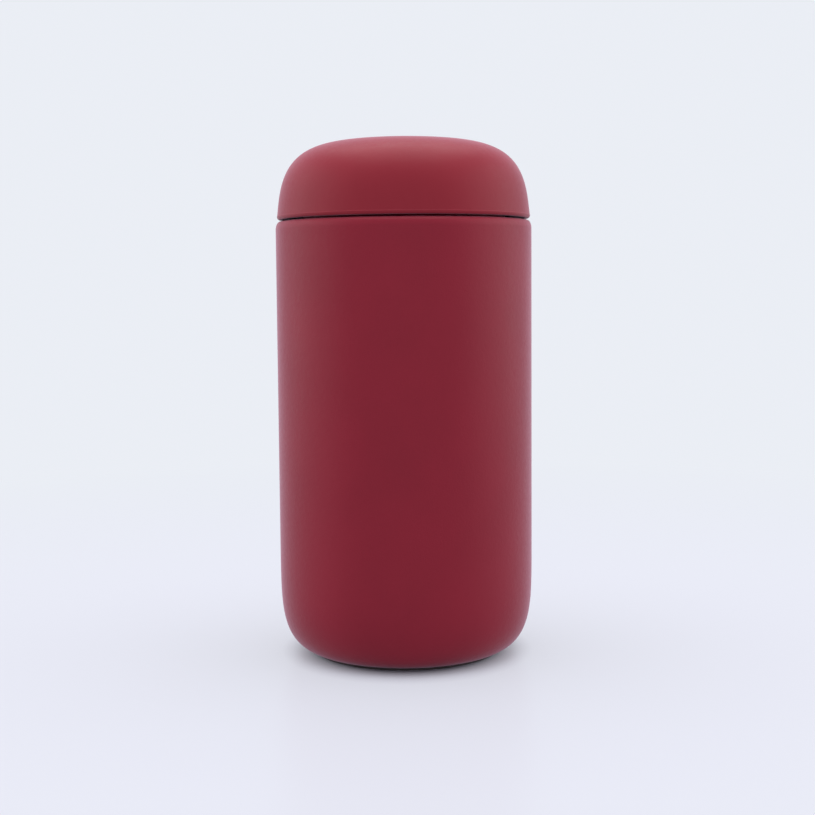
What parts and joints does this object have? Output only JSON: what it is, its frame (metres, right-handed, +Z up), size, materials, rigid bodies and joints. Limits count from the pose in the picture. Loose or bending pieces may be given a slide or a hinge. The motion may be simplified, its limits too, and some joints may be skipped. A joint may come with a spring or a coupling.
{
  "type": "insulated travel tumbler",
  "caption": "Double-wall vacuum-insulated steel drinking tumbler with a domed screw-on lid and a lift-out splash guard in its neck.",
  "frame": {"origin": "on the axis, in the plane that the foot pad stands on", "axes": "+Z up along the axis, from the foot to the lid"},
  "size_m": [0.074, 0.074, 0.1487],
  "materials": {
    "coated_steel": "matte powder coat, fine texture",
    "steel": "brushed",
    "solder": "fused bead",
    "getter": "sintered",
    "copper": "bright copper foil",
    "adhesive": "tape",
    "foot_silicone": "matte silicone",
    "lid_paint": "matte soft paint, fine texture",
    "liner_plastic": "moulded, fine spark texture",
    "foam": "closed-cell foam",
    "seal_silicone": "satin silicone",
    "guard_plastic": "moulded satin"
  },
  "bodies": {
    "cup": {"outer_shell": "coated_steel", "outer_base": "steel", "vacuum_plug": "solder", "getter_pellet": "getter", "getter_clip": "steel", "inner_liner": "steel", "liner_bottom": "steel", "copper_foil": "copper", "base_cap": "steel", "pad_adhesive": "adhesive", "base_pad": "foot_silicone"},
    "seal_ring": {"lid_seal": "seal_silicone"},
    "lid": {"lid_shell": "lid_paint", "lid_liner": "liner_plastic", "lid_foam": "foam"},
    "guard": {"guard_disc": "guard_plastic", "guard_seal": "seal_silicone"}
  },
  "joints": [
    {"name": "lid_lift", "type": "slide", "parent": "cup", "child": "seal_ring", "axis": [0, 0, 1], "range_m": [0, 0.03]},
    {"name": "lid_turn", "type": "hinge", "parent": "seal_ring", "child": "lid", "pos_m": [0, 0, 0.1262], "axis": [0, 0, 1], "range_deg": [0, 900]},
    {"name": "guard_lift", "type": "slide", "parent": "cup", "child": "guard", "axis": [0, 0, 1], "range_m": [0, 0.018]}
  ],
  "couplings": [
    {"joint": "lid_lift", "follows": "lid_turn", "m_per_rad": 0.0019099},
    {"joint": "guard_lift", "follows": "lid_turn", "m_per_rad": 0.0011459}
  ]
}
